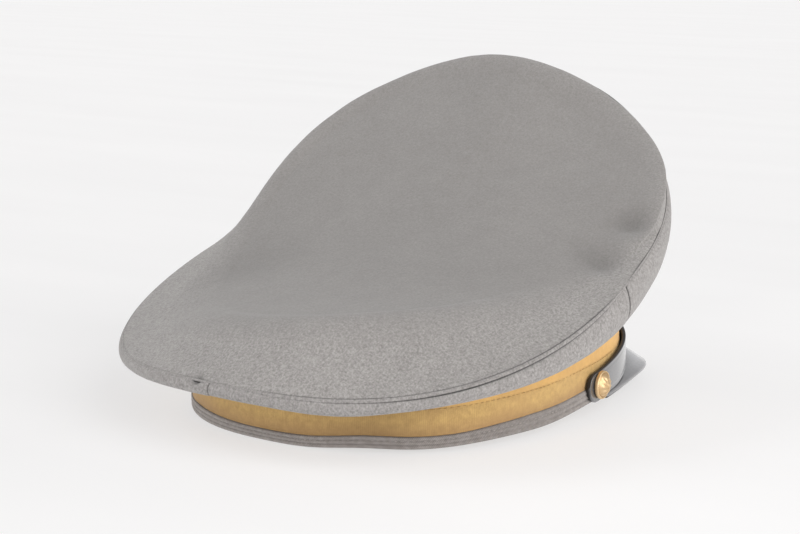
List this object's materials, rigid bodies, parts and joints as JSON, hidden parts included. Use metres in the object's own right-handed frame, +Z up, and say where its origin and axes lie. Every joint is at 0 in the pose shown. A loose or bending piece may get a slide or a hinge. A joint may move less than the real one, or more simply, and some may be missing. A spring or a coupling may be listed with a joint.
{
  "type": "peaked military cap",
  "caption": "Peaked uniform cap with a high-fronted soft wool crown, braid head band, patent leather visor and a chin strap held by side buttons.",
  "frame": {"origin": "on the surface that the cap rests on, under the middle of its box", "axes": "+Z up from the surface, -Y the way the visor points, +X to the wearer's left"},
  "size_m": [0.2378, 0.2934, 0.1567],
  "materials": {
    "crown_wool": "matte heathered grey wool",
    "panel_wool": "matte heathered grey wool",
    "gold_braid": "matte ribbed braid, mustard gold",
    "grey_binding": "matte stitched tape",
    "patent_leather": "high gloss",
    "strap_leather": "satin",
    "gilt": "worn satin gilt"
  },
  "bodies": {
    "root": {"crown_top": "crown_wool", "crown_welt": "panel_wool", "quarter_front": "panel_wool", "quarter_left": "panel_wool", "quarter_right": "panel_wool", "band": "gold_braid", "band_binding": "grey_binding", "visor": "patent_leather", "chin_strap": "strap_leather", "button_left": "gilt", "button_right": "gilt"}
  },
  "joints": []
}
